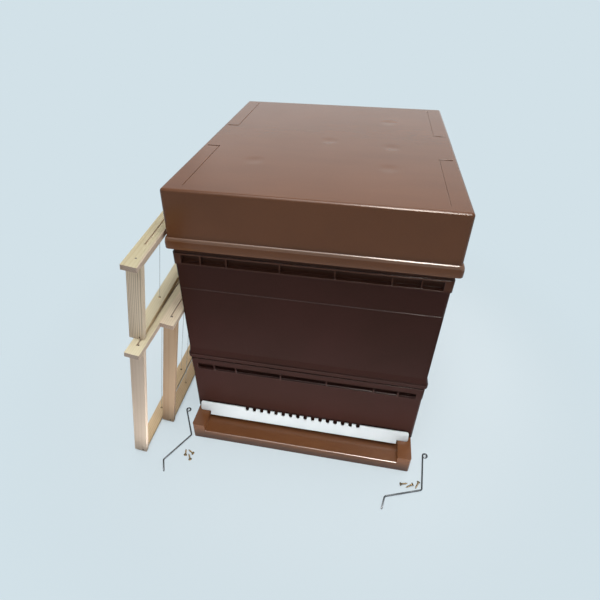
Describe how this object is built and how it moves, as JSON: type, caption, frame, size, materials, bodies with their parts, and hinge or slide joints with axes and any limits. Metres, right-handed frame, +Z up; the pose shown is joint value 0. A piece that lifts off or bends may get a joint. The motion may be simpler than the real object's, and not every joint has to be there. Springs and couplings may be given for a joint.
{
  "type": "beehive",
  "caption": "Moulded beehive with a flat telescoping roof, honey super over a two-ring brood body, floor with entrance strip, and wooden frames, some leaned beside it.",
  "frame": {"origin": "centre of the hive boxes' footprint, on the ground under the floor", "axes": "+Z up, -Y towards the entrance side, +X to the right seen from the front"},
  "size_m": [0.5812, 0.6692, 0.5305],
  "materials": {
    "brown_plastic": "satin, fine texture",
    "white_plastic": "satin",
    "pine": "planed, unfinished",
    "frame_wire": "drawn wire",
    "rack_steel": "galvanised",
    "hook_steel": "dull wire",
    "screw_brass": "plated"
  },
  "bodies": {
    "upper_body": {"body_back_rack": "rack_steel", "body_front_rack": "rack_steel", "upper_body_back_wall": "brown_plastic", "upper_body_front_wall": "brown_plastic", "upper_body_left_wall": "brown_plastic", "upper_body_right_wall": "brown_plastic"},
    "brood_frames": {"brood_frame_1": "pine", "brood_frame_2": "pine", "brood_frame_3": "pine", "brood_frame_4": "pine", "brood_frame_5": "pine", "brood_frame_6": "pine", "brood_frame_7": "pine", "brood_frame_8": "pine", "brood_frame_wires": "frame_wire"},
    "entrance_strip": {"entrance_reducer": "white_plastic"},
    "feed_plug": {"feed_hole_plug": "brown_plastic"},
    "floor": {"floor_base": "brown_plastic", "left_hook": "hook_steel", "left_screws": "screw_brass", "right_hook": "hook_steel", "right_screws": "screw_brass"},
    "inner_cover": {"inner_cover": "brown_plastic"},
    "loose_brood_far": {"loose_brood_far_back_side_bar": "pine", "loose_brood_far_bottom_bar": "pine", "loose_brood_far_front_side_bar": "pine", "loose_brood_far_top_bar": "pine", "loose_brood_far_wires": "frame_wire"},
    "loose_brood_near": {"loose_brood_near_back_side_bar": "pine", "loose_brood_near_bottom_bar": "pine", "loose_brood_near_front_side_bar": "pine", "loose_brood_near_top_bar": "pine", "loose_brood_near_wires": "frame_wire"},
    "loose_super": {"loose_super_back_side_bar": "pine", "loose_super_bottom_bar": "pine", "loose_super_front_side_bar": "pine", "loose_super_top_bar": "pine", "loose_super_wires": "frame_wire"},
    "lower_body": {"lower_body_back_wall": "brown_plastic", "lower_body_front_wall": "brown_plastic", "lower_body_left_wall": "brown_plastic", "lower_body_right_wall": "brown_plastic"},
    "roof": {"roof": "brown_plastic"},
    "super": {"super_back_rack": "rack_steel", "super_back_wall": "brown_plastic", "super_front_rack": "rack_steel", "super_front_wall": "brown_plastic", "super_left_wall": "brown_plastic", "super_right_wall": "brown_plastic"},
    "super_frames": {"super_frame_1": "pine", "super_frame_2": "pine", "super_frame_3": "pine", "super_frame_4": "pine", "super_frame_5": "pine", "super_frame_6": "pine", "super_frame_7": "pine", "super_frame_8": "pine", "super_frame_wires": "frame_wire"}
  },
  "joints": [
    {"name": "lower_body_lift", "type": "slide", "parent": "floor", "child": "lower_body", "axis": [0, 0, 1], "range_m": [0, 0.06]},
    {"name": "upper_body_lift", "type": "slide", "parent": "lower_body", "child": "upper_body", "axis": [0, 0, 1], "range_m": [0, 0.06]},
    {"name": "brood_frames_lift", "type": "slide", "parent": "upper_body", "child": "brood_frames", "axis": [0, 0, 1], "range_m": [0, 0.33]},
    {"name": "super_lift", "type": "slide", "parent": "brood_frames", "child": "super", "axis": [0, 0, 1], "range_m": [0, 0.2]},
    {"name": "super_frames_lift", "type": "slide", "parent": "super", "child": "super_frames", "axis": [0, 0, 1], "range_m": [0, 0.18]},
    {"name": "inner_cover_lift", "type": "slide", "parent": "super_frames", "child": "inner_cover", "axis": [0, 0, 1], "range_m": [0, 0.05]},
    {"name": "feed_plug_lift", "type": "slide", "parent": "inner_cover", "child": "feed_plug", "axis": [0, 0, 1], "range_m": [0, 0.03]},
    {"name": "roof_lift", "type": "slide", "parent": "feed_plug", "child": "roof", "axis": [0, 0, 1], "range_m": [0, 0.12]},
    {"name": "entrance_strip_lift", "type": "slide", "parent": "floor", "child": "entrance_strip", "axis": [0, 0, 1], "range_m": [0, 0.06]},
    {"name": "loose_far_frame_lift", "type": "slide", "parent": "floor", "child": "loose_brood_far", "axis": [0, 0, 1], "range_m": [0, 0.35]},
    {"name": "loose_super_frame_lift", "type": "slide", "parent": "loose_brood_far", "child": "loose_super", "axis": [0, 0, 1], "range_m": [0, 0.35]},
    {"name": "loose_near_frame_draw", "type": "slide", "parent": "floor", "child": "loose_brood_near", "axis": [0, -1, 0], "range_m": [0, 0.3]}
  ]
}
